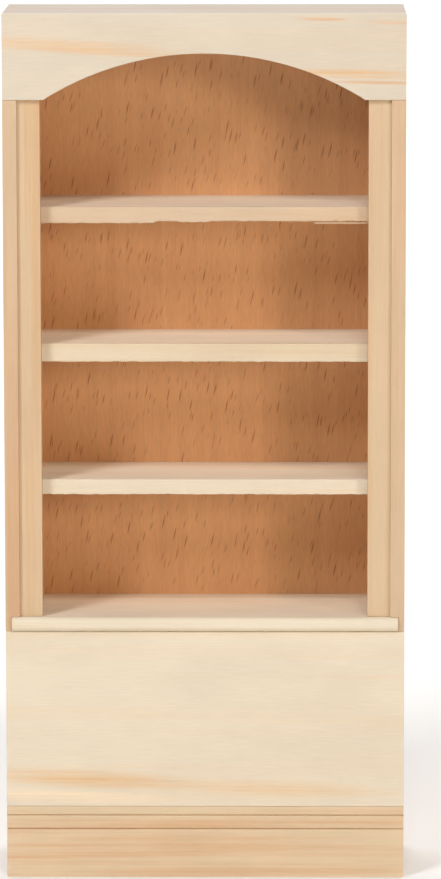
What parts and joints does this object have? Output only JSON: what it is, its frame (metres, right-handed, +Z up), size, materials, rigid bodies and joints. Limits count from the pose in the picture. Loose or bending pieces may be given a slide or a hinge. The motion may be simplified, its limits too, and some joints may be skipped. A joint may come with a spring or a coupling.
{
  "type": "miniature bookcase",
  "caption": "Tall open miniature bookcase in bare pale wood, with an arched header, recessed stiles, shelves, a round-nosed counter and a closed base with a grooved plinth.",
  "frame": {"origin": "middle of the footprint on the surface that the bookcase stands on, with the counter's nose counted", "axes": "+X to the right as seen from the open front, +Y to the back, +Z up"},
  "size_m": [0.0888, 0.0326, 0.1937],
  "materials": {
    "case_basswood": "bare, sawn and lightly sanded",
    "header_basswood": "bare, sanded",
    "panel_basswood": "bare, sanded",
    "plinth_basswood": "bare, sanded",
    "stile_basswood": "bare, sanded",
    "shelf_basswood": "bare, sanded, with rough sawn arrises",
    "top_basswood": "bare, sanded",
    "back_beech": "bare, sanded"
  },
  "bodies": {
    "root": {"left_side": "case_basswood", "right_side": "case_basswood", "top_board": "top_basswood", "bottom_board": "case_basswood", "back_panel": "back_beech", "arched_header": "header_basswood", "left_stile": "stile_basswood", "right_stile": "stile_basswood", "lower_shelf": "shelf_basswood", "middle_shelf": "shelf_basswood", "upper_shelf": "shelf_basswood", "counter_shelf": "shelf_basswood", "lower_panel": "panel_basswood", "plinth_board": "plinth_basswood"}
  },
  "joints": []
}
